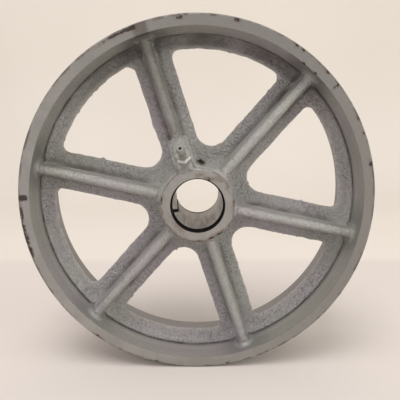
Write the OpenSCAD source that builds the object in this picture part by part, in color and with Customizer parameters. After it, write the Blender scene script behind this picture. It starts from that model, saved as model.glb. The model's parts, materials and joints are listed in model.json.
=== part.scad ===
// Spoked cast-iron caster wheel with a split steel bearing race and a ball-check grease fitting.
// Millimetres. The wheel turns about the Y axis, its centre is the origin, +Z is up,
// and the side with the grease fitting faces -Y.

/* [Wheel] */
// Tread diameter
tread_d = 254; // [210:1:310]
// Tread width, from rim face to rim face
tread_w = 63.5; // [52:0.5:77]
// Bevel along both edges of the tread
tread_bevel = 1.2; // [0.4:0.1:2.5]
// Thickness of the rim wall at its faces
rim_wall = 7.9; // [6:0.1:9.6]
// Draft of the rim's inner surface, in degrees
rim_draft = 2.5; // [1:0.5:4]

/* [Web] */
// Thickness of the rounded flange that runs round inside the rim
ring_t = 21.5; // [17:0.5:26]
// Height of that flange inside the rim's inner surface
ring_h = 8.4; // [6:0.1:10]
// Step from the ring's rough skin out to the rim's inner wall
ring_step = 1.2; // [0:0.1:2.5]
// Thickness of the spoke flanges
web_t = 9; // [7:0.5:11]
// Width of each spoke flange
spoke_w = 28.6; // [23:0.2:34]
// Corner radius of the windows, next to the rim
window_corner_r = 7; // [4:0.5:9]
// Corner radius of the windows, next to the hub
window_root_r = 12.5; // [10:0.5:15]

/* [Ribs] */
// Height of the rib crest above the wheel's mid-plane, at the hub
crest_hub_z = 28; // [23:0.5:30]
// Height of the rib crest above the wheel's mid-plane, at the rim
crest_rim_z = 23; // [19:0.5:27]
// Radius of the rounded crest
crest_r = 3.5; // [2.5:0.1:4.5]
// Draft of the rib's sides, in degrees
rib_draft = 4; // [1:0.5:6]
// Direction of the spoke that carries the grease boss, in degrees from +X
boss_angle = 108; // [60:1:120]

/* [Hub] */
// Length of the hub
hub_l = 82.6; // [76:0.2:99]
// Diameter of the hub at its machined end faces
hub_d = 51.6; // [47:0.2:62]
// Draft of the hub's outside, in degrees
hub_draft = 2; // [0.5:0.5:4]
// Bevel round the hub's end faces
hub_bevel = 0.8; // [0.3:0.1:1.5]
// Diameter of the bore through the hub
bore_d = 38.1; // [31:0.1:46]

/* [Race] */
// Wall of the rolled steel race
race_wall = 1.2; // [0.8:0.1:1.6]
// Length of the race
race_l = 65; // [54:0.5:68]
// Distance from the hub's front face to the race
race_set_back = 7; // [4:0.5:10]
// Width of the open seam
seam_gap = 2.6; // [1.5:0.1:4]
// How far the seam's V reaches sideways
seam_v = 5.6; // [3:0.1:8]
// Direction of the seam, in degrees from +X
seam_angle = 204; // [180:1:270]
// Hole in the race that lets the grease through
race_hole_d = 4; // [3:0.1:5]

/* [Grease boss] */
// Width of the boss
pad_w = 13; // [12:0.2:20]
// Tilt of the boss's flat face, outwards, in degrees
pad_tilt = 32; // [28:1:38]
// Depth below the hub's end face at which the boss's face meets the hub
pad_drop = 1.3; // [1:0.1:4]
// Length of the boss, outwards from the hub's outside
pad_l = 22.5; // [20:0.5:40]
// Distance of the fitting from the hub's outside
fitting_out = 8.5; // [7:0.1:10]
// Sideways offset of the fitting from the spoke's centre line
fitting_side = -1; // [-2:0.1:2]
// Diameter of the drilled grease passage
passage_d = 3.2; // [2.5:0.1:4]

/* [Grease fitting] */
// Major diameter of the thread
thread_d = 7.9; // [6.6:0.1:9.5]
// Length of the thread
thread_l = 8; // [6.6:0.1:9.6]
// Hexagon, across flats
hex_af = 9.5; // [9:0.1:11.4]
// Height of the hexagon
hex_h = 4.2; // [3.5:0.1:5]
// Diameter of the neck behind the nose
neck_d = 5.1; // [4.8:0.1:5.6]
// Largest diameter of the nose
nose_d = 6.5; // [6.3:0.1:7.8]
// Height of the fitting above the boss
fitting_h = 12.5; // [11.5:0.1:15]
// Diameter of the throat at the nose's tip
throat_d = 2.4; // [2:0.1:2.5]
// Diameter of the check ball
ball_d = 3.2; // [2.7:0.1:3.9]
// Wire diameter of the check spring
wire_d = 0.4; // [0.3:0.05:0.5]
// Working turns of the check spring
spring_turns = 5; // [3:1:7]

/* [Clearances] */
// Between the race and the bore it is seated in, all round
race_clearance = 0.02; // [0:0.01:0.05]
// Between the thread and its hole, all round
thread_clearance = 0.05; // [0.02:0.01:0.1]
// Between the ball and its chamber, all round
chamber_clearance = 0.25; // [0.15:0.05:0.3]
// Between the ball and its seat
ball_clearance = 0.05; // [0.02:0.01:0.1]
// Between the spring and what it rests on
spring_clearance = 0.05; // [0.02:0.01:0.1]

/* [Hidden] */
$fn = 96;
overlap = 1;
spokes = 6;
half_step = 180 / spokes;

tread_r = tread_d / 2;
half_w = tread_w / 2;
rim_in_r = tread_r - rim_wall;
rim_mid_r = rim_in_r - half_w * tan(rim_draft);
window_r = rim_mid_r - ring_h;
half_spoke = spoke_w / 2;

hub_r = hub_d / 2;
half_l = hub_l / 2;
hub_mid_r = hub_r + half_l * tan(hub_draft);
bore_r = bore_d / 2;

race_out_r = bore_r - race_clearance;
race_in_r = race_out_r - race_wall;
race_mid_z = half_l - race_set_back - race_l / 2;

crest_in_r = hub_r - 2;
crest_out_r = rim_in_r + 2;
crest_slope = atan((crest_hub_z - crest_rim_z) / (crest_out_r - crest_in_r));
rib_depth = crest_rim_z;

pad_top_z = half_l - pad_drop;
pad_in_r = bore_r + overlap;
pad_out_r = hub_r + pad_l;
fitting_r = hub_r + fitting_out;
fitting_z = pad_top_z - fitting_out * tan(pad_tilt);
passage_l = (fitting_r - bore_r) / sin(pad_tilt) + overlap;

seat_z = fitting_h - 1.4;
ball_r = ball_d / 2;
chamber_r = ball_r + chamber_clearance;
ball_z = seat_z - sqrt(ball_r * ball_r - throat_d * throat_d / 4) - ball_clearance;
lip_z = -thread_l + 1.2;
coil_r = ball_r - wire_d / 2;
spring_top_z = ball_z - sqrt(ball_r * ball_r - coil_r * coil_r) - wire_d / 2 - spring_clearance;
spring_low_z = lip_z + wire_d / 2 + spring_clearance;
ring_steps = 10;

// Points of an arc from angle a0 to a1, without the first and last `trim` of them
function arc(c, r, a0, a1, steps, trim = 0) =
    [for (i = [trim:steps - trim]) let (a = a0 + (a1 - a0) * i / steps) c + r * [cos(a), sin(a)]];

// Outline of one window, which lies along +X between two spokes
function window_outline() =
    let (
        along = [cos(half_step), sin(half_step)],
        away = [sin(half_step), -cos(half_step)],
        off = half_spoke + window_corner_r,
        out = sqrt(pow(window_r - window_corner_r, 2) - off * off),
        top = out * along + off * away,
        side = atan2(top.y, top.x),
        turn = 90 + half_step,
        root_x = (half_spoke + window_root_r) / sin(half_step)
    )
    concat(
        arc([0, 0], window_r, -side, side, 12, 1),
        arc(top, window_corner_r, side, turn, 8),
        arc([root_x, 0], window_root_r, turn, 360 - turn, 12),
        arc([top.x, -top.y], window_corner_r, -turn, -side, 8)
    );

// Cross-section of a rib: its crest is at the origin and it widens downwards
function rib_section() =
    let (low_w = crest_r * cos(rib_draft) + (rib_depth - crest_r + crest_r * sin(rib_draft)) * tan(rib_draft))
    concat(arc([0, -crest_r], crest_r, rib_draft, 180 - rib_draft, 10),
        [[-low_w, -rib_depth], [low_w, -rib_depth]]);

// Turns local +Z, the wheel's axle, to -Y, so that local X and Y become X and Z
module on_axle() {
    rotate([90, 0, 0]) children();
}

// Stands its children on the boss's tilted face, with local +Z out of it
module on_boss() {
    on_axle() rotate([0, 0, boss_angle]) translate([fitting_r, fitting_side, fitting_z])
        rotate([0, pad_tilt, 0]) children();
}

module rim() {
    rotate_extrude() polygon([
        [rim_in_r, half_w], [tread_r - tread_bevel, half_w], [tread_r, half_w - tread_bevel],
        [tread_r, -half_w + tread_bevel], [tread_r - tread_bevel, -half_w], [rim_in_r, -half_w],
        [rim_mid_r, 0]
    ]);
}

// The hollow fillets, one on each side, that carry the web into the rim
module ring_flange() {
    fillet_r = (ring_t - web_t) / 2;
    wall_r = rim_mid_r - ring_step;
    for (side = [0, 1]) mirror([0, 0, side]) rotate_extrude() polygon(concat(
        arc([wall_r - fillet_r, ring_t / 2], fillet_r, 270, 360, ring_steps),
        [[rim_in_r + overlap, ring_t / 2], [rim_in_r + overlap, 0], [wall_r - fillet_r, 0]]
    ));
}

module web() {
    linear_extrude(web_t, center = true) difference() {
        circle(r = rim_mid_r + overlap);
        for (i = [0:spokes - 1]) rotate(boss_angle + half_step * (2 * i + 1)) polygon(window_outline());
    }
}

module rib() {
    translate([crest_in_r, 0, crest_hub_z]) rotate([0, 90 + crest_slope, 0])
        linear_extrude((crest_out_r - crest_in_r) / cos(crest_slope)) rotate(90) polygon(rib_section());
}

module ribs() {
    for (i = [0:spokes - 1]) rotate([0, 0, boss_angle + 2 * half_step * i]) {
        rib();
        mirror([0, 0, 1]) rib();
    }
}

module hub() {
    rotate_extrude() polygon([
        [0, -half_l], [hub_r - hub_bevel, -half_l], [hub_r, -half_l + hub_bevel], [hub_mid_r, 0],
        [hub_r, half_l - hub_bevel], [hub_r - hub_bevel, half_l], [0, half_l]
    ]);
}

module boss() {
    top_z = pad_top_z - 0.2;
    rotate([0, 0, boss_angle]) translate([0, pad_w / 2, 0]) rotate([90, 0, 0])
        linear_extrude(pad_w) polygon([
            [pad_in_r, 0], [pad_in_r, top_z], [hub_r + 0.2 / tan(pad_tilt), top_z],
            [pad_out_r, pad_top_z - pad_l * tan(pad_tilt)], [pad_out_r, 0]
        ]);
}

module wheel_casting() {
    color("darkgray") difference() {
        union() {
            on_axle() {
                rim();
                ring_flange();
                web();
                ribs();
                hub();
                boss();
            }
        }
        on_axle() cylinder(h = hub_l + 2 * overlap, r = bore_r, center = true);
        on_boss() {
            translate([0, 0, -thread_l - 2]) cylinder(h = thread_l + 2 + overlap, r = thread_d / 2 + thread_clearance);
            translate([0, 0, -passage_l]) cylinder(h = passage_l, r = passage_d / 2);
        }
    }
}

module seam_cut() {
    arm = race_l / 2 + overlap;
    rotate([0, 0, seam_angle]) translate([0, seam_v / 2, 0]) rotate([0, 90, 0])
        linear_extrude(race_out_r + overlap) polygon([
            [-arm, -seam_gap / 2 - seam_v], [0, -seam_gap / 2], [arm, -seam_gap / 2 - seam_v],
            [arm, seam_gap / 2 - seam_v], [0, seam_gap / 2], [-arm, seam_gap / 2 - seam_v]
        ]);
}

module bearing_race() {
    color("dimgray") difference() {
        on_axle() translate([0, 0, race_mid_z]) difference() {
            cylinder(h = race_l, r = race_out_r, center = true);
            cylinder(h = race_l + 2 * overlap, r = race_in_r, center = true);
            seam_cut();
        }
        on_boss() translate([0, 0, -passage_l - 2 * race_wall]) cylinder(h = passage_l, r = race_hole_d / 2);
    }
}

module nose() {
    rotate_extrude() polygon([
        [0, 0], [neck_d / 2, 0], [neck_d / 2, fitting_h - 4.9], [nose_d / 2, fitting_h - 3.7],
        [nose_d / 2, fitting_h - 2.6], [nose_d / 2 - 1.3, fitting_h], [0, fitting_h]
    ]);
}

module hexagon() {
    corner_r = hex_af / 2 / cos(30);
    intersection() {
        cylinder(h = hex_h, r = corner_r, $fn = 6);
        rotate_extrude() polygon([
            [0, 0], [corner_r, 0], [corner_r, hex_h - 0.5], [hex_af / 2 - 0.1, hex_h], [0, hex_h]
        ]);
    }
}

module grease_fitting() {
    color("silver") on_boss() difference() {
        union() {
            translate([0, 0, -thread_l]) cylinder(h = thread_l, r = thread_d / 2);
            hexagon();
            nose();
        }
        translate([0, 0, lip_z]) cylinder(h = seat_z - lip_z, r = chamber_r);
        translate([0, 0, -thread_l - overlap]) cylinder(h = fitting_h + thread_l + 2 * overlap, r = throat_d / 2);
    }
}

module check_ball() {
    color("dimgray") on_boss() translate([0, 0, ball_z]) sphere(r = ball_r);
}

// Rings of the spring's wire, each turned square to the helix
function wire_ring(t) =
    let (
        a = 360 * spring_turns * t,
        z = spring_low_z + (spring_top_z - spring_low_z) * t
    )
    [for (k = [0:7]) let (b = 45 * k, r = coil_r + wire_d / 2 * cos(b))
        [r * cos(a), r * sin(a), z + wire_d / 2 * sin(b)]];

module check_spring() {
    rings = spring_turns * 16;
    points = [for (i = [0:rings]) each wire_ring(i / rings)];
    sides = [for (i = [0:rings - 1], k = [0:7])
        let (j = (k + 1) % 8) [8 * i + k, 8 * i + 8 + k, 8 * i + 8 + j, 8 * i + j]];
    ends = [[for (k = [0:7]) k], [for (k = [7:-1:0]) 8 * rings + k]];
    color("gray") on_boss() polyhedron(points, concat(sides, ends));
}

wheel_casting();
bearing_race();
grease_fitting();
check_ball();
check_spring();
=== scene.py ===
"""Looks of a spoked cast-iron caster wheel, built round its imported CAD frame.

The wheel turns about Y, +Z is up and the side with the grease fitting faces -Y. The casting's
fine shape is computed in millimetres in the wheel's own axes: x right, y up, z to the front.
"""

import json
import math

import bpy
import numpy as np
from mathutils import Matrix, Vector


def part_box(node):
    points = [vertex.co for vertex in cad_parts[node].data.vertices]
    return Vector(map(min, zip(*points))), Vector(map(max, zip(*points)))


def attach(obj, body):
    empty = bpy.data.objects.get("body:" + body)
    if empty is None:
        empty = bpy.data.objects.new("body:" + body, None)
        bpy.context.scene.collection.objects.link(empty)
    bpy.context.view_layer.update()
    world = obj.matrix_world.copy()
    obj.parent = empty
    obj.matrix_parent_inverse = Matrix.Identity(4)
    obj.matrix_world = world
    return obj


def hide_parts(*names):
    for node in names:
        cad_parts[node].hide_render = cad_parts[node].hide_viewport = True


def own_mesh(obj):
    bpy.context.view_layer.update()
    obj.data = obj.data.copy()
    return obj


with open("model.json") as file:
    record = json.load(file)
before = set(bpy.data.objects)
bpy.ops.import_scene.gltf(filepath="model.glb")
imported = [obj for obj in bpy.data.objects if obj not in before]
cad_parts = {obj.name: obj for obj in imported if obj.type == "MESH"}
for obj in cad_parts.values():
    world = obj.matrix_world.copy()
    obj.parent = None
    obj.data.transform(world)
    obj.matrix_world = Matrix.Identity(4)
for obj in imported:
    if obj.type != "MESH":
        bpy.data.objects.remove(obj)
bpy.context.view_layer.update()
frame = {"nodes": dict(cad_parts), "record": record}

MM = 0.001

# ---- Sizes of the casting, millimetres ------------------------------------------------------
TREAD_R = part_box("wheel_casting")[1][2] / MM
HALF_HUB_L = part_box("wheel_casting")[1][1] / MM
HALF_TREAD_W = 31.75
RIM_WALL = 7.9
RIM_DRAFT = math.radians(2.5)
TREAD_BEVEL = 1.2
RIM_IN_R = TREAD_R - RIM_WALL
RIM_MID_R = RIM_IN_R - HALF_TREAD_W * math.tan(RIM_DRAFT)
HALF_WEB_T = 4.5
HALF_RING_T = 10.75
RING_FILLET = HALF_RING_T - HALF_WEB_T
WINDOW_R = RIM_MID_R - 7.1
GROOVE_W = 0.9
WEB_ROUND = 3.0
FLASH_HALF_T = 0.85
FLASH_SET_BACK = 0.15
FLASH_WAVE = 0.28
BURR_SHARE = 2.6
HALF_SPOKE_W = 14.3
WINDOW_CORNER_R = 7.0
WINDOW_ROOT_R = 12.5
WINDOW_ROOT_X = (HALF_SPOKE_W + WINDOW_ROOT_R) / math.sin(math.pi / 6)
WINDOW_DRAFT = math.radians(9)
SPOKES = 6
SPOKE_STEP = 2 * math.pi / SPOKES
BOSS_ANGLE = math.radians(108)
CREST_R = 3.5
CREST_HUB_Z = 28.0
CREST_RIM_Z = 23.0
RIB_DRAFT = math.radians(4)
RIB_FILLET = 5.0
HUB_R = 25.8
HUB_DRAFT = math.radians(2)
HUB_BEVEL = 0.8
HUB_FILLET = 5.0
BORE_R = 19.05
HALF_PAD_W = 6.5
PAD_TILT = math.radians(32)
PAD_TOP_Z = HALF_HUB_L - 1.3
PAD_L = 22.5
PAD_SIDE_DRAFT = 0.05
PAD_ROUND = 1.8
FITTING_OFF = 10.0
FITTING_SIDE = -1.0
HOLE_R = 4.1
HOLE_DEPTH = 9.0
FLOOR_Z = -TREAD_R * MM

# ---- Grease fitting -------------------------------------------------------------------------
nipple = next(m for m in frame["record"]["mounts"] if m["name"] == "grease_nipple")
FITTING_TIP, FITTING_AXIS = Vector(nipple["pos_m"]), Vector(nipple["axis"])
FITTING_H = 12.5
HEX_H = 4.2

# ---- Mesh -----------------------------------------------------------------------------------
CELL = 1.5
CELL_SLACK = 0.2
SURFACE_PASSES = 3
TREAD_ROWS = 5
SHARP_ANGLE = math.radians(35)
FAR = 6.0


# ---- Distance functions ---------------------------------------------------------------------
def smooth(start, end, value):
    """Smooth step from 0 at start to 1 at end."""
    f = np.clip((value - start) / (end - start), 0, 1)
    return f * f * (3 - 2 * f)


def round_join(a, b, r):
    """Union of two distance fields with a fillet of radius r in the corner between them."""
    return np.maximum(r, np.minimum(a, b)) - np.hypot(np.maximum(r - a, 0), np.maximum(r - b, 0))


def round_cut(a, b, r):
    """Intersection of two distance fields with its edge rounded to radius r."""
    return np.minimum(-r, np.maximum(a, b)) + np.hypot(np.maximum(r + a, 0), np.maximum(r + b, 0))


def noise(x, y, z, size, seed):
    """Smooth noise from -1 to 1 with features about `size` millimetres across."""
    table = np.random.default_rng(seed).uniform(-1, 1, 4096).astype(np.float32)
    grid, part = [], []
    for c in (x, y, z):
        c = c / size
        low = np.floor(c)
        f = (c - low).astype(np.float32)
        grid.append(low.astype(np.int64))
        part.append(f * f * (3 - 2 * f))
    total = 0
    for corner in range(8):
        weight, key = 1, 0
        for axis, prime in enumerate((73856093, 19349663, 83492791)):
            step = corner >> axis & 1
            key = key ^ (grid[axis] + step) * prime
            weight = weight * (part[axis] if step else 1 - part[axis])
        total = total + weight * table[key & 4095]
    return total


def spoke_fold(x, y):
    """Angle from the centre line of the nearest spoke."""
    turn = np.arctan2(y, x) - BOSS_ANGLE
    return np.abs((turn + SPOKE_STEP / 2) % SPOKE_STEP - SPOKE_STEP / 2)


def boss_place(x, y, z):
    """Place along the boss's spoke, place across it, and height above the boss's tilted face."""
    u = x * math.cos(BOSS_ANGLE) + y * math.sin(BOSS_ANGLE)
    t = y * math.cos(BOSS_ANGLE) - x * math.sin(BOSS_ANGLE)
    level = (u - HUB_R) * math.sin(PAD_TILT) + (z - PAD_TOP_Z) * math.cos(PAD_TILT)
    return u, t, level


def window_field(r, fold):
    """Distance to the window outline: negative in a window, positive in the web."""
    side = HALF_SPOKE_W - r * np.sin(fold)
    out = r * np.cos(SPOKE_STEP / 2 - fold) - WINDOW_ROOT_X
    off = r * np.sin(SPOKE_STEP / 2 - fold)
    root = np.hypot(out, off) - WINDOW_ROOT_R
    side = np.where(off < -out * math.tan(SPOKE_STEP), root, side)
    return round_cut(side, r - WINDOW_R, WINDOW_CORNER_R)


def along_pad(u, z):
    """Distance down the sloping boss face from the front hub edge."""
    return (u - HUB_R) * math.cos(PAD_TILT) - (z - PAD_TOP_Z) * math.sin(PAD_TILT)


def casting_field(x, y, z):
    """Signed distance, in millimetres, to the finished casting. Negative is iron."""
    r = np.hypot(x, y)
    az = np.abs(z)
    fold = spoke_fold(x, y)
    along, aside = r * np.cos(fold), r * np.sin(fold)

    inner = RIM_IN_R - (HALF_TREAD_W - az) * math.tan(RIM_DRAFT)
    bevel = (r + az - (TREAD_R + HALF_TREAD_W - TREAD_BEVEL)) / math.sqrt(2)
    rim = np.maximum(np.maximum(inner - r, r - TREAD_R), np.maximum(az - HALF_TREAD_W, bevel))

    window = window_field(r, fold)
    plate = round_cut(az * math.tan(WINDOW_DRAFT) - window, az - HALF_WEB_T, WEB_ROUND)
    flat = z * 0
    burr = np.maximum(noise(x, y, flat, 2.4, 5) - 0.45, 0)
    fin = -FLASH_SET_BACK + FLASH_WAVE * noise(x, y, flat, 7.0, 3) + BURR_SHARE * burr
    flash = np.maximum(az - FLASH_HALF_T, -window - fin)
    plate = np.maximum(np.minimum(plate, flash), r - TREAD_R + 3)
    groove = np.hypot(r - inner, az - HALF_RING_T - GROOVE_W / 2) - GROOVE_W
    rim = np.maximum(rim, -groove)

    crest_z = CREST_HUB_Z + (CREST_RIM_Z - CREST_HUB_Z) * (along - HUB_R) / (RIM_IN_R - HUB_R)
    up = az - crest_z + CREST_R
    side = aside * math.cos(RIB_DRAFT) + up * math.sin(RIB_DRAFT)
    rib = np.where(up > aside * math.tan(RIB_DRAFT), np.hypot(aside, up), side) - CREST_R
    rib = np.maximum(rib, r - TREAD_R + 4)

    hub_r = HUB_R + (HALF_HUB_L - az) * math.tan(HUB_DRAFT)
    hub = np.maximum(r - hub_r, (r + az - (HUB_R + HALF_HUB_L - HUB_BEVEL)) / math.sqrt(2))

    u, t, over = boss_place(x, y, z)
    pad = round_cut(np.abs(t) - HALF_PAD_W + over * PAD_SIDE_DRAFT, over, PAD_ROUND)
    pad = np.maximum(np.maximum(pad, BORE_R - u), np.maximum(u - HUB_R - PAD_L, -z))

    body = np.maximum(round_join(plate, inner - r, RING_FILLET), az - HALF_RING_T)
    body = round_join(np.minimum(np.maximum(body, r - TREAD_R + 3), rim), rib, RIB_FILLET)
    body = round_join(body, hub, HUB_FILLET)
    body = round_join(body, pad, PAD_ROUND)
    body = np.maximum(body, az - np.where(r > RIM_MID_R, HALF_TREAD_W, HALF_HUB_L))
    off_axis = np.hypot(t - FITTING_SIDE, along_pad(u, z) - FITTING_OFF)
    hole = np.maximum(off_axis - HOLE_R, -over - HOLE_DEPTH)
    return np.maximum(np.maximum(body, BORE_R - r), -hole)


# ---- Surface nets ---------------------------------------------------------------------------
EDGE_CIRCLES = [
    (RIM_IN_R, HALF_TREAD_W),
    (TREAD_R - TREAD_BEVEL, HALF_TREAD_W),
    (HUB_R - HUB_BEVEL / 2, HALF_HUB_L - HUB_BEVEL / 2),
    (BORE_R, HALF_HUB_L),
]


def gradient(points, step=0.05):
    """Gradient of the casting's field at each point."""
    out = np.empty_like(points)
    for axis in range(3):
        shift = np.zeros(3)
        shift[axis] = step
        ahead = casting_field(*(points + shift).T)
        out[:, axis] = (ahead - casting_field(*(points - shift).T)) / (2 * step)
    return out


def snap_to_edges(points, low):
    """Moves the point of each cell that a turned edge runs through onto that edge."""
    high = low + CELL
    mid = low + CELL / 2
    near = np.maximum(np.maximum(low[:, :2], -high[:, :2]), 0)
    far = np.maximum(np.abs(low[:, :2]), np.abs(high[:, :2]))
    r_low, r_high = np.hypot(*near.T), np.hypot(*far.T)
    for edge_r, edge_z in EDGE_CIRCLES:
        for edge in (edge_z, -edge_z):
            hit = (r_low < edge_r) & (r_high > edge_r) & (low[:, 2] < edge) & (high[:, 2] > edge)
            flat = mid[hit, :2]
            points[hit, :2] = flat / np.hypot(*flat.T)[:, None] * edge_r
            points[hit, 2] = edge
    return points


def casting_surface():
    """Points, in millimetres, and four-sided faces of the casting's whole surface."""
    half = [TREAD_R, TREAD_R, HALF_HUB_L]
    counts = [2 * int(math.ceil(h / CELL + 2)) for h in half]
    axes = [(np.arange(n) - (n - 1) / 2) * CELL for n in counts]
    x, y, z = np.meshgrid(*[a.astype(np.float32) for a in axes], indexing="ij")
    field = casting_field(x, y, z)
    inside = field < 0

    cells = tuple(n - 1 for n in counts)
    crossings = np.zeros(cells, np.int32)
    sums = np.zeros(cells + (3,), np.float32)
    faces = []
    for axis in range(3):
        step = [0, 0, 0]
        step[axis] = 1
        a = field[tuple(slice(0, n - s) for n, s in zip(counts, step))]
        b = field[tuple(slice(s, n) for n, s in zip(counts, step))]
        i, j, k = np.nonzero((a < 0) != (b < 0))
        share = a[i, j, k] / (a[i, j, k] - b[i, j, k])
        spot = np.stack([axes[0][i], axes[1][j], axes[2][k]], 1)
        spot[:, axis] += share * CELL
        others = [n for n in range(3) if n != axis]
        for da in (0, 1):
            for db in (0, 1):
                cell = np.stack([i, j, k], 1)
                cell[:, others[0]] -= da
                cell[:, others[1]] -= db
                np.add.at(crossings, tuple(cell.T), 1)
                np.add.at(sums, tuple(cell.T), spot)
        faces.append((axis, others, i, j, k, a[i, j, k] < 0))
    used = crossings > 0
    index = np.full(cells, -1, np.int64)
    index[used] = np.arange(used.sum())
    points = (sums[used] / crossings[used][:, None]).astype(np.float64)
    low = np.stack([axes[n][c] for n, c in enumerate(np.nonzero(used))], 1)

    quads = []
    for axis, others, i, j, k, out in faces:
        ring = []
        for da, db in ((0, 0), (1, 0), (1, 1), (0, 1)):
            cell = [i.copy(), j.copy(), k.copy()]
            cell[others[0]] -= da
            cell[others[1]] -= db
            ring.append(index[tuple(cell)])
        quad = np.stack(ring, 1)
        flip = out if axis == 1 else ~out
        quad[flip] = quad[flip][:, ::-1]
        quads.append(quad)

    near, far = low - CELL_SLACK * CELL, low + (1 + CELL_SLACK) * CELL
    for _ in range(SURFACE_PASSES):
        slope = gradient(points)
        size = np.maximum((slope**2).sum(1), 0.05)
        move = (casting_field(*points.T) / size)[:, None] * slope
        points = np.clip(points - np.clip(move, -CELL, CELL), near, far)
    return snap_to_edges(points, low), np.concatenate(quads)


def ring_at(points, edge_r, edge_z):
    """Indices of the points snapped to one edge circle, in order of angle."""
    on = np.abs(np.hypot(points[:, 0], points[:, 1]) - edge_r) < 0.001
    found = np.nonzero(on & (np.abs(points[:, 2] - edge_z) < 0.001))[0]
    return found[np.argsort(np.arctan2(points[found, 1], points[found, 0]))]


def bridge(rows):
    """Quads between successive closed rows of point indices."""
    quads = []
    for a, b in zip(rows, rows[1:]):
        quads.append(np.stack([a, b, np.roll(b, -1), np.roll(a, -1)], 1))
    return np.concatenate(quads)


def turned_faces(points, quads):
    """Swaps the meshed tread and bore for smooth strips between their edge circles."""
    r, az = np.hypot(points[:, 0], points[:, 1]), np.abs(points[:, 2])
    edge_r = TREAD_R - TREAD_BEVEL
    gone = (r > edge_r + 0.02) | ((r < BORE_R + 0.3) & (az < HALF_HUB_L - 0.1))
    quads = quads[~gone[quads].any(1)]

    front, back = (ring_at(points, edge_r, z) for z in (HALF_TREAD_W, -HALF_TREAD_W))
    turn = np.arctan2(points[front, 1], points[front, 0])
    rows = [front]
    for z in np.linspace(1, -1, TREAD_ROWS) * (HALF_TREAD_W - TREAD_BEVEL):
        rows.append(np.arange(len(turn)) + len(points))
        row = [TREAD_R * np.cos(turn), TREAD_R * np.sin(turn), np.full(len(turn), z)]
        points = np.concatenate([points, np.stack(row, 1)])
    tread = bridge(rows + [back])
    bore = bridge([ring_at(points, BORE_R, z) for z in (-HALF_HUB_L, HALF_HUB_L)])
    quads = np.concatenate([quads, tread, bore])
    used, places = np.unique(quads, return_inverse=True)
    return points[used], places.reshape(quads.shape), len(bore)


# ---- Skin, wear, painted shade and the finished casting -------------------------------------
def sand_skin(x, y, z):
    """1 on the rough sand-cast skin, falling to 0 on turned faces and the smooth rim wall."""
    r, az = np.hypot(x, y), np.abs(z)
    wall = smooth(RIM_MID_R - 2.0, RIM_MID_R - 0.5, r) * smooth(HALF_RING_T - 1, HALF_RING_T, az)
    wall = 0.85 * wall + smooth(RIM_MID_R + 0.8, RIM_MID_R + 1.2, r)
    turned = smooth(HALF_HUB_L - 7.0, HALF_HUB_L - 1.5, az) + smooth(BORE_R + 1.5, BORE_R, r)
    u, t, level = boss_place(x, y, z)
    pad = smooth(-1.6, -0.6, level) * smooth(HALF_PAD_W + 1, HALF_PAD_W - 1, np.abs(t)) * (u > 0)
    pad = 0.7 * pad * smooth(PAD_L, PAD_L - 2.0, u - HUB_R)
    return np.clip(1 - wall - turned - np.maximum(pad, 0.6 * rib_crest(x, y, z)), 0, 1)


def rib_crest(x, y, z):
    """1 on the smooth upper part of a rib, 0 away from it."""
    r, az = np.hypot(x, y), np.abs(z)
    crest = smooth(5.5, 4.0, r * np.sin(spoke_fold(x, y))) * smooth(12.5, 16.5, az)
    return crest * smooth(HUB_R + 1, HUB_R + 5, r) * smooth(RIM_MID_R, RIM_MID_R - 2, r)


def turned_face(x, y, z):
    """1 on the turned faces of the rim and hub, and on the tread."""
    r, az = np.hypot(x, y), np.abs(z)
    rim = smooth(HALF_TREAD_W - 0.9, HALF_TREAD_W - 0.1, az) + smooth(TREAD_R - 2.5, TREAD_R - 1, r)
    return np.clip(rim * (r > RIM_IN_R - 0.6) + smooth(HALF_HUB_L - 1.2, HALF_HUB_L - 0.1, az), 0, 1)


# Paint knocks are placed in steps of 2.5 degrees, counted clockwise from the boss's spoke.
SPECK = (0.9, 0.7)
NICK = (0.8, 0.8)
SCRATCH = (0.45, 1.3)
KNOCK = (1.8, 1.0)
CHIP = (1.7, 1.9)


def face_mark(inner_r, outer_r, clockwise, across, size):
    """A mark of a half length and half width, with across 0 at inner_r and 1 at outer_r."""
    return math.degrees(BOSS_ANGLE) - clockwise, inner_r + across * (outer_r - inner_r), *size


def rim_mark(clockwise, across, size):
    return face_mark(RIM_IN_R, TREAD_R - TREAD_BEVEL, clockwise, across, size)


def hub_mark(clockwise, across, size):
    return face_mark(BORE_R, HUB_R, clockwise, across, size)


def rim_streak(start, end, across, half_widths):
    """Marks in a row along the rim that run into each other."""
    turns = np.linspace(start, end, len(half_widths))
    return [rim_mark(turn, across, (4.0, half_w)) for turn, half_w in zip(turns, half_widths)]


def knocks():
    """Knocks in the paint: a scratched streak, a worn edge, chips and specks, and the hub's."""
    marks = rim_streak(-2.5, -10, 0.85, (1.2, 0.8, 0.5, 0.4))
    marks += rim_streak(-75, -87.5, 0.9, (0.6, 0.7, 1.0, 0.9))
    marks += [rim_mark(12.5, 0.8, KNOCK), rim_mark(30, 0.9, KNOCK), rim_mark(95, 0.9, KNOCK)]
    marks += [rim_mark(turn, 0.95, SPECK) for turn in (50, 52.5, 62.5, 80, 85, 187.5, 212.5, 235)]
    marks += [rim_mark(turn, 0.0, NICK) for turn in (55, 60)]
    marks += [rim_mark(67.5, across, SCRATCH) for across in (0.7, 0.9)]
    marks += [rim_mark(-70, across, CHIP) for across in (0.5, 0.9)]
    marks += [hub_mark(turn, 0.95, KNOCK) for turn in (160, 175)]
    marks += [hub_mark(turn, 0.95, SPECK) for turn in (195, -62.5, 102.5)]
    marks += [hub_mark(40, 0.1, SPECK)]
    return marks + [hub_mark(22.5, 1.45, KNOCK), hub_mark(25, 1.3, KNOCK)]


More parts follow.
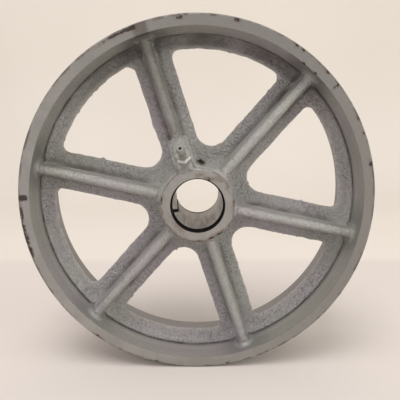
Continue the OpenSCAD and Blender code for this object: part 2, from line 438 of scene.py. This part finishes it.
# Brown stains on the hub face: direction in degrees, radius, half length along the circle and
# half width, in millimetres.
STAINS = [
    (50.0, 23.8, 3.4, 1.4), (70.0, 20.6, 3.0, 1.0), (86.0, 21.0, 2.5, 1.0), (33.0, 24.6, 4.0, 1.2),
    (225.0, 20.3, 6.0, 1.1), (3.0, 25.2, 5.0, 0.8), (232.0, 25.3, 9.0, 0.6), (205.0, 25.4, 5.0, 0.5),
    (300.0, 24.6, 6.5, 1.3), (268.0, 25.2, 5.0, 0.6), (172.0, 25.3, 2.0, 0.7),
]

# The sand pit in the casting, just above the hub and right of the boss
PIT_X, PIT_Y, PIT_DEPTH = 2.7, 28.6, 1.6


def mark_distance(marks, x, y, z):
    """Rough distance in millimetres to the nearest of the marks, negative inside it."""
    r, turn = np.hypot(x, y), np.arctan2(y, x)
    best = np.full(len(x), FAR)
    for degrees, at_r, half_l, half_w in marks:
        arc = (turn - math.radians(degrees) + math.pi) % (2 * math.pi) - math.pi
        reach = np.hypot(arc * at_r / half_l, (r - at_r) / half_w)
        best = np.minimum(best, (reach - 1) * min(half_l, half_w))
    on_faces = (z > HALF_TREAD_W - 2) & ((r > RIM_IN_R - 1) | (r < HUB_R + 1))
    by_hub = (z > 0) & (r > HUB_R + 0.6) & (r < HUB_R + 8)
    return np.where(on_faces | by_hub, best, FAR)


def groove_closeness(x, y, z):
    """1 in the corner where a rib meets its spoke, 0 away from it."""
    r, az = np.hypot(x, y), np.abs(z)
    off = np.hypot(r * np.sin(spoke_fold(x, y)) - 5.5, (az - HALF_WEB_T - 4.0) * 0.6)
    return smooth(4.5, 0.5, off) * smooth(34, 44, r) * smooth(112, 100, r)


def shade_and_grime_depth(x, y, z):
    """1 where most painted shade goes: in the corner under the rim wall, on the ring and rim wall
    towards the top, beside the rib roots by the rim (painted shade, the paint also dirty there), on
    the boss and the rib above it, and across the rim face towards the upper right.
    """
    r, az = np.hypot(x, y), np.abs(z)
    # Painted shade in the inside corner under the rim wall
    corner = np.hypot(r - RIM_MID_R - 0.4, (az - HALF_RING_T - 0.4) * 0.8)
    ring = smooth(RIM_MID_R - 9.0, RIM_MID_R - 4.0, r) * (az < HALF_RING_T + 0.5)
    slope = smooth(RIM_MID_R - 1.0, RIM_MID_R, r) * (r < RIM_IN_R + 0.3) * (az < HALF_TREAD_W - 1)
    # Painted shade: the ring and the rim wall darker towards the top of the wheel
    top = smooth(52.0, 104.0, y) * ring + 0.5 * smooth(-20.0, 95.0, y) * slope
    aside = r * np.sin(spoke_fold(x, y))
    # Painted shade beside the rib roots by the rim, the paint also dirty there
    root = smooth(9.0, 6.0, aside) * smooth(4.5, 6.5, aside)
    root = root * smooth(88.0, 108.0, r) * (az < 15) * smooth(-40.0, 60.0, y)
    # Painted shade on the boss's sloping face
    u, t, level = boss_place(x, y, z)
    pad = smooth(-2.0, -0.8, level) * smooth(HALF_PAD_W + 1, HALF_PAD_W - 1, np.abs(t))
    pad = pad * smooth(PAD_L + 1, PAD_L - 1, u - HUB_R) * (u > HUB_R - 2)
    # Painted shade on the rib above the boss
    rib = smooth(HALF_PAD_W, 3.0, np.abs(t)) * smooth(14.0, 18.0, z) * (u > HUB_R + PAD_L)
    # Painted shade: the rim face darker towards the upper right
    face = 0.5 * smooth(-130.0, 110.0, x + 0.6 * y) * (r > RIM_IN_R - 0.5) * (az > HALF_TREAD_W - 1)
    edges = 0.9 * smooth(2.2, 0.4, corner) + 0.85 * top
    return np.clip(edges + 0.6 * pad + 0.75 * rib + 0.8 * root + face, 0, 1)


def edge_distance(x, y, z):
    """Distance in millimetres to the outer edges of the rim and hub faces, at most FAR."""
    r, az = np.hypot(x, y), np.abs(z)
    rim = np.hypot(r - TREAD_R + TREAD_BEVEL / 2, az - HALF_TREAD_W + TREAD_BEVEL / 2)
    hub = np.hypot(r - HUB_R, az - HALF_HUB_L)
    return np.minimum(np.minimum(rim, hub + 0.6), FAR)


def skin_relief(points):
    """Height in millimetres of the waviness, sand grain and pits over the smooth shape."""
    x, y, z = points.T
    wave = 0.16 * noise(x, y, z, 13.0, 11) + 0.12 * noise(x, y, z, 6.5, 12)
    grain = 0.20 * noise(x, y, z, 3.3, 13)
    lumps = np.maximum(noise(x, y, z, 8.0, 14) - 0.35, 0) * 0.5
    pit = np.exp(-((x - PIT_X) ** 2 / 3.0 + (y - PIT_Y) ** 2 / 0.9)) * (z > 0)
    return wave + grain + lumps - PIT_DEPTH * pit


def make_object(name, points, faces, attributes):
    """Mesh object in metres from points in the wheel's millimetres, with float attributes."""
    mesh = bpy.data.meshes.new(name)
    mesh.vertices.add(len(points))
    metres = np.stack([points[:, 0], -points[:, 2], points[:, 1]], 1) * MM
    mesh.vertices.foreach_set("co", metres.ravel())
    mesh.loops.add(faces.size)
    mesh.loops.foreach_set("vertex_index", faces.ravel())
    mesh.polygons.add(len(faces))
    mesh.polygons.foreach_set("loop_start", np.arange(0, faces.size, faces.shape[1]))
    for key, values in attributes.items():
        layer = mesh.attributes.new(key, "FLOAT", "POINT")
        layer.data.foreach_set("value", np.asarray(values, np.float32))
    mesh.update(calc_edges=True)
    mesh.validate()
    mesh.shade_smooth()
    mesh.set_sharp_from_angle(angle=SHARP_ANGLE)
    obj = bpy.data.objects.new(name, mesh)
    bpy.context.scene.collection.objects.link(obj)
    return obj


def build_casting():
    """The whole casting as one closed mesh with its wear and painted-shade attributes."""
    points, faces, bore_faces = turned_faces(*casting_surface())
    x, y, z = points.T
    sand = sand_skin(x, y, z)
    slope = gradient(points)
    slope /= np.maximum(np.linalg.norm(slope, axis=1), 0.3)[:, None]
    moved = points + slope * (sand * skin_relief(points))[:, None]
    obj = make_object("cast_wheel", moved, faces, {
        "sand": sand,
        "knock": mark_distance(knocks(), x, y, z),
        "stain": mark_distance(STAINS, x, y, z),
        "groove": groove_closeness(x, y, z),
        "crest": rib_crest(x, y, z),
        # Mask of painted shade, the paint also dirty at the rib roots
        "shade_and_grime": shade_and_grime_depth(x, y, z),
        "edge": edge_distance(x, y, z),
        "turned": turned_face(x, y, z),
    })
    slots = np.zeros(len(faces), np.int32)
    slots[-bore_faces:] = 1
    obj.data.polygons.foreach_set("material_index", slots)
    return obj


# ---- Materials ------------------------------------------------------------------------------
SOOT = (0.080, 0.072, 0.074)
BRIGHT_GRAIN = (0.82, 0.81, 0.81)
# Colour of the painted shade in the corners and towards the top, the paint also dirty in the rib
# corners
SHADE_AND_DIRT = (0.100, 0.088, 0.078)
RUST = (0.150, 0.078, 0.062)
WORN_EDGE = (0.085, 0.056, 0.042)
BROWN_STAIN = (0.155, 0.098, 0.062)
KNOCK_HALO = (0.16, 0.10, 0.07)
BARE_IRON = (0.030, 0.019, 0.016)
# Near black of the bore and the race ends: painted shade in the recess, over old grease and oxide
GREASE_AND_SHADE_BLACK = (0.004, 0.0035, 0.003)


class Shader:
    """A material whose nodes are made and joined by short calls."""

    def __init__(self, name):
        self.material = bpy.data.materials.new(name)
        self.material.use_nodes = True
        self.tree = self.material.node_tree
        self.surface = self.tree.nodes["Principled BSDF"]
        self.place = self.make("ShaderNodeTexCoord").outputs["Object"]

    def make(self, kind, **settings):
        """Adds a node with its settings."""
        node = self.tree.nodes.new(kind)
        for key, value in settings.items():
            setattr(node, key, value)
        return node

    def put(self, socket, value):
        """Joins an output to a socket, or sets a plain value or colour on it."""
        if isinstance(value, bpy.types.NodeSocket):
            self.tree.links.new(value, socket)
        elif isinstance(value, tuple) and len(value) == 3 and socket.type == "RGBA":
            socket.default_value = (*value, 1)
        else:
            socket.default_value = value

    def math(self, operation, a, b=0.0):
        node = self.make("ShaderNodeMath", operation=operation)
        self.put(node.inputs[0], a)
        self.put(node.inputs[1], b)
        return node.outputs[0]

    def times(self, a, b):
        return self.math("MULTIPLY", a, b)

    def plus(self, a, b):
        return self.math("ADD", a, b)

    def larger(self, a, b):
        return self.math("MAXIMUM", a, b)

    def step(self, value, start, end, low=0.0, high=1.0):
        """Smooth change from low at start to high at end."""
        node = self.make("ShaderNodeMapRange", interpolation_type="SMOOTHSTEP")
        for socket, number in zip(node.inputs, (value, start, end, low, high)):
            self.put(socket, number)
        return node.outputs[0]

    def mix(self, share, a, b):
        """Colour a where share is 0 and b where it is 1."""
        node = self.make("ShaderNodeMix", data_type="RGBA")
        self.put(node.inputs["Factor"], share)
        self.put(node.inputs[6], a)
        self.put(node.inputs[7], b)
        return node.outputs[2]

    def stretch(self, x, y, z):
        """Place on the object, scaled along each axis."""
        node = self.make("ShaderNodeMapping")
        node.inputs["Scale"].default_value = (x, y, z)
        self.put(node.inputs["Vector"], self.place)
        return node.outputs[0]

    def noise(self, size, detail=2.0, rough=0.5, place=None, shift=0.0):
        """Noise around 0.5 with features about `size` millimetres across."""
        node = self.make("ShaderNodeTexNoise", noise_dimensions="4D")
        self.put(node.inputs["Vector"], place or self.place)
        node.inputs["W"].default_value = shift
        node.inputs["Scale"].default_value = 1 / (size * MM)
        node.inputs["Detail"].default_value = detail
        node.inputs["Roughness"].default_value = rough
        return node.outputs[0]

    def attribute(self, name):
        """One of the casting's wear and painted-shade attributes."""
        return self.make("ShaderNodeAttribute", attribute_name=name).outputs["Fac"]

    def bump(self, height, depth):
        """Bump of `depth` millimetres from a height between 0 and 1."""
        node = self.make("ShaderNodeBump")
        node.inputs["Distance"].default_value = depth * MM
        node.inputs["Strength"].default_value = 1.0
        self.put(node.inputs["Height"], height)
        self.put(self.surface.inputs["Normal"], node.outputs[0])

    def finish(self, colour, rough, metallic, **settings):
        """Sets the surface and gives the finished material."""
        self.put(self.surface.inputs["Base Color"], colour)
        self.put(self.surface.inputs["Roughness"], rough)
        self.put(self.surface.inputs["Metallic"], metallic)
        for key, value in settings.items():
            self.surface.inputs[key.replace("_", " ")].default_value = value
        return self.material


def clean_paint(s, sand, crest, grain, cloud):
    """Colour of the paint: smooth walls, coarse cast skin, and greyer turned faces."""
    patch = s.step(s.noise(55, 2.0, 0.5, shift=7.0), 0.38, 0.62)
    smooth_wall = s.mix(patch, (0.280, 0.286, 0.262), (0.292, 0.276, 0.288))
    cast_skin = s.mix(patch, (0.575, 0.575, 0.555), (0.590, 0.560, 0.590))
    turned = s.mix(s.step(cloud, 0.35, 0.65), (0.300, 0.290, 0.280), (0.345, 0.334, 0.322))
    colour = s.mix(s.larger(sand, s.times(crest, 0.40)), smooth_wall, cast_skin)
    colour = s.mix(s.attribute("turned"), colour, turned)
    low = s.times(s.step(grain, 0.53, 0.36), sand)
    soot = s.step(s.noise(34, 2.0, 0.5, shift=17.0), 0.42, 0.60, 0.18, 0.50)
    colour = s.mix(s.times(low, soot), colour, SOOT)
    high = s.times(s.step(grain, 0.55, 0.68), sand)
    return s.mix(s.times(high, 0.65), colour, BRIGHT_GRAIN)


def shade_dirt_and_rust(s, colour, cloud):
    """Painted shade over the paint, which is also dirty in the rib corners, and rust in the rib
    corners: darker in the corners of the ribs, under the rim wall and towards the top.
    """
    groove = s.attribute("groove")
    # Painted shade: the paint is darkened in the rib corners and wherever the shade mask is high
    shade_and_dirt = s.larger(s.times(groove, 0.7), s.attribute("shade_and_grime"))
    colour = s.mix(s.times(shade_and_dirt, s.step(cloud, 0.3, 0.6, 0.5, 0.8)), colour, SHADE_AND_DIRT)
    rusty = s.step(s.noise(22, 2, 0.6, shift=5.0), 0.52, 0.66)
    return s.mix(s.times(s.times(groove, rusty), 0.5), colour, RUST)


def painted_iron():
    """Thin aluminium paint over cast iron, knocked and rusting where it is thin, with painted shade
    in its corners and towards the top.
    """
    s = Shader("aluminium_paint")
    sand, crest = s.attribute("sand"), s.attribute("crest")
    grain = s.noise(1.5, 4.0, 0.6)
    coarse = s.noise(3.6, 2.0, 0.5, shift=3.0)
    cloud = s.noise(16, 3.0, 0.6, shift=11.0)
    colour = shade_dirt_and_rust(s, clean_paint(s, sand, crest, grain, cloud), cloud)

    ragged_edge = s.step(s.noise(9, 3, 0.6, shift=9.0), 0.3, 0.7, -0.9, 0.9)
    worn = s.step(s.plus(s.attribute("edge"), ragged_edge), 1.5, 0.3)
    colour = s.mix(s.times(worn, 0.75), colour, WORN_EDGE)
    stain = s.plus(s.attribute("stain"), s.step(coarse, 0.3, 0.7, -0.9, 0.9))
    colour = s.mix(s.step(stain, 1.2, -0.8, 0.0, 0.5), colour, BROWN_STAIN)
    ragged = s.step(s.noise(1.7, 3, 0.7, shift=13.0), 0.25, 0.75, -0.65, 0.3)
    ragged = s.plus(s.attribute("knock"), ragged)
    colour = s.mix(s.times(s.step(ragged, 1.6, 0.0), 0.3), colour, KNOCK_HALO)
    bare = s.step(ragged, 0.25, -0.15)
    colour = s.mix(s.times(bare, 0.92), colour, BARE_IRON)

    scars = s.larger(bare, worn)
    metallic = s.step(scars, 0.2, 0.8, 0.5, 0.0)
    rough = s.step(s.plus(grain, s.times(scars, 0.6)), 0.3, 1.0, 0.33, 0.85)
    rough = s.math("SUBTRACT", rough, s.step(crest, 0.2, 0.9, 0.0, 0.07))
    height = s.plus(grain, s.times(coarse, 0.9))
    height = s.times(height, s.step(sand, 0.0, 1.0, 0.10, 1.0))
    height = s.math("SUBTRACT", height, s.times(bare, 0.35))
    s.bump(height, 3.0)
    return s.finish(colour, rough, metallic)


def bore_shade_and_oxide():
    """Bare bore of the hub, painted near black as the shade in its recess, with old grease and oxide
    in it.
    """
    s = Shader("bore_shade_and_oxide")
    film = s.noise(2.0, 3.0, 0.6)
    # Near black all over: painted shade in the bore's recess, over grease and oxide
    colour = s.mix(s.step(film, 0.35, 0.7), GREASE_AND_SHADE_BLACK, (0.016, 0.011, 0.008))
    s.bump(film, 0.2)
    return s.finish(colour, s.step(film, 0.3, 0.7, 0.6, 0.9), 0.0, Specular_IOR_Level=0.12)


def rolled_steel():
    """Split bearing race: rolled steel with draw marks, a dull grey film, and ends painted near
    black as shade where it sits back in the bore, over old grease.
    """
    s = Shader("rolled_steel")
    drawn = s.noise(1.5, 3.0, 0.6, place=s.stretch(1.0, 0.06, 1.0))
    film = s.noise(14, 3.0, 0.6, shift=4.0)
    colour = s.mix(s.step(film, 0.35, 0.65), (0.22, 0.205, 0.195), (0.33, 0.31, 0.29))
    colour = s.mix(s.times(s.step(drawn, 0.55, 0.4), 0.4), colour, (0.12, 0.105, 0.10))
    depth = s.make("ShaderNodeSeparateXYZ")
    s.put(depth.inputs[0], s.place)
    front_y, back_y = (corner[1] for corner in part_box("bearing_race"))
    front = s.step(depth.outputs["Y"], front_y + 0.8 * MM, front_y + 0.3 * MM)
    back = s.step(depth.outputs["Y"], back_y - 0.8 * MM, back_y - 0.3 * MM)
    ends = s.larger(front, back)
    # Painted shade on the ends, over old grease: near black where the race sits back in the bore
    colour = s.mix(ends, colour, GREASE_AND_SHADE_BLACK)
    s.bump(drawn, 0.05)
    rough = s.larger(ends, s.step(drawn, 0.3, 0.7, 0.30, 0.48))
    return s.finish(colour, rough, s.step(ends, 0.0, 1.0, 0.7, 0.0))


def zinc_plate(name, tone, rough):
    """Bright plated or polished steel with light wear and grime in its low spots."""
    s = Shader(name)
    wear = s.noise(2.4, 3.0, 0.6)
    dust = s.noise(0.6, 2.0, 0.5, shift=2.0)
    dull = tuple(c * 0.62 for c in tone)
    colour = s.mix(s.step(wear, 0.42, 0.62), tone, dull)
    s.bump(dust, 0.03)
    return s.finish(colour, s.step(wear, 0.35, 0.65, rough, rough + 0.16), 1.0)


def painted_zinc():
    """Zinc-plated fitting, painted over with the wheel except on the sides of its hexagon, which are
    coloured near white as a painted reflection.
    """
    s = Shader("painted_zinc")

    def along_axis(vector):
        node = s.make("ShaderNodeVectorMath", operation="DOT_PRODUCT")
        s.put(node.inputs[0], vector)
        node.inputs[1].default_value = FITTING_AXIS
        return node.outputs["Value"]

    facing = along_axis(s.make("ShaderNodeNewGeometry").outputs["True Normal"])
    wear = s.noise(1.6, 3.0, 0.6)
    hex_top = FITTING_TIP.dot(FITTING_AXIS) - (FITTING_H - HEX_H) * MM
    above = s.step(along_axis(s.place), hex_top, hex_top + 0.4 * MM)
    coat = s.larger(above, s.step(facing, 0.15, 0.45))
    # Near white on the bare sides of the hexagon: a painted reflection
    colour = s.mix(coat, (1.0, 0.99, 0.97), (0.28, 0.272, 0.258))
    s.bump(wear, 0.06)
    return s.finish(colour, s.step(coat, 0.0, 1.0, 0.22, 0.5), 0.3)


def backdrop_paper():
    """Pale matt paper, a little warmer and lighter on the wall than on the floor; the floor's darker
    tone is painted shade of the same paper.
    """
    s = Shader("backdrop_paper")
    tone = s.noise(500, 2.0, 0.5)
    fibre = s.noise(1.2, 2.0, 0.5, shift=1.0)
    depth = s.make("ShaderNodeSeparateXYZ")
    s.put(depth.inputs[0], s.place)
    behind = s.step(depth.outputs["Y"], WALL_TONE_Y - 0.02, WALL_TONE_Y + 0.02)
    wall = s.mix(s.step(tone, 0.3, 0.7), (0.765, 0.715, 0.665), (0.795, 0.745, 0.695))
    # Painted shade: the floor part darker than the wall
    colour = s.mix(behind, (0.73, 0.675, 0.65), wall)
    s.bump(fibre, 0.05)
    return s.finish(colour, 0.85, 0.0)


# ---- Stage, lights and camera ---------------------------------------------------------------
WALL_TONE_Y = 0.255
BEND_STEPS = 12


def backdrop():
    """Pale floor that sweeps up into a wall well behind the wheel."""
    half_w, front, bend, bend_r, top = 3.0, -3.0, 0.75, 0.45, 2.6
    line = [(front, 0.0), (bend, 0.0)]
    for i in range(1, BEND_STEPS + 1):
        a = math.pi / 2 * i / BEND_STEPS
        line.append((bend + bend_r * math.sin(a), bend_r * (1 - math.cos(a))))
    line.append((bend + bend_r, top))
    points = [(x, y, z + FLOOR_Z) for y, z in line for x in (-half_w, half_w)]
    faces = [(2 * i, 2 * i + 1, 2 * i + 3, 2 * i + 2) for i in range(len(line) - 1)]
    mesh = bpy.data.meshes.new("backdrop")
    mesh.from_pydata(points, [], faces)
    mesh.shade_smooth()
    mesh.materials.append(backdrop_paper())
    obj = bpy.data.objects.new("backdrop", mesh)
    bpy.context.scene.collection.objects.link(obj)


def soft_light(name, place, target, size, watts, colour):
    """Square area light at place, facing target."""
    light = bpy.data.lights.new(name, "AREA")
    light.shape = "SQUARE"
    light.size = size
    light.energy = watts
    light.color = colour
    obj = bpy.data.objects.new(name, light)
    obj.location = place
    obj.rotation_euler = (Vector(target) - Vector(place)).to_track_quat("-Z", "Y").to_euler()
    bpy.context.scene.collection.objects.link(obj)


def lights():
    """Warm room light, a key light above the wheel and one light on each side."""
    world = bpy.data.worlds.new("room")
    world.use_nodes = True
    background = world.node_tree.nodes["Background"]
    background.inputs["Color"].default_value = (1.0, 0.965, 0.92, 1)
    background.inputs["Strength"].default_value = 0.75
    bpy.context.scene.world = world
    soft_light("key", (-0.25, -0.7, 1.75), (0, 0, 0), 1.0, 16, (1.0, 0.97, 0.94))
    soft_light("left", (-1.5, -0.7, 0.35), (0, 0, 0), 0.9, 1.5, (0.97, 0.86, 1.0))
    soft_light("right", (1.5, -0.7, 0.35), (0, 0, 0), 0.9, 7, (0.97, 1.0, 0.86))
    bpy.context.scene.view_settings.view_transform = "Standard"


def camera():
    """Camera at the height of the hub's upper edge, looking a little down."""
    yaw, pitch = math.radians(0.87), math.radians(10.864)
    data = bpy.data.cameras.new("camera")
    data.sensor_width = 36.0
    data.lens = 37.8
    data.shift_x = -0.006
    data.shift_y = 0.046
    data.clip_start = 0.01
    obj = bpy.data.objects.new("camera", data)
    obj.location = (-0.0011, -0.3272, 0.0461)
    obj.rotation_euler = (math.pi / 2 - pitch, 0, -yaw)
    bpy.context.scene.collection.objects.link(obj)
    bpy.context.scene.camera = obj


def dress(node, material):
    """Gives a CAD node's object its finished material."""
    obj = frame["nodes"][node]
    obj.data.materials.clear()
    obj.data.materials.append(material)


def valve_spring(material):
    """The check spring as an object of its own, a copy of the CAD spring attached to the wheel."""
    cad = frame["nodes"]["check_spring"]
    spring = bpy.data.objects.new("valve_spring", cad.data.copy())
    spring.matrix_world = cad.matrix_world
    bpy.context.scene.collection.objects.link(spring)
    spring.data.materials.clear()
    spring.data.materials.append(material)
    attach(spring, "wheel")
    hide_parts("check_spring")
    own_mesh(spring)


camera()
lights()
backdrop()
casting = build_casting()
casting.data.materials.append(painted_iron())
casting.data.materials.append(bore_shade_and_oxide())
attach(casting, "wheel")
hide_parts("wheel_casting")
dress("bearing_race", rolled_steel())
dress("grease_fitting", painted_zinc())
dress("check_ball", zinc_plate("ball_steel", (0.060, 0.056, 0.052), 0.30))
valve_spring(zinc_plate("spring_steel", (0.38, 0.36, 0.34), 0.28))
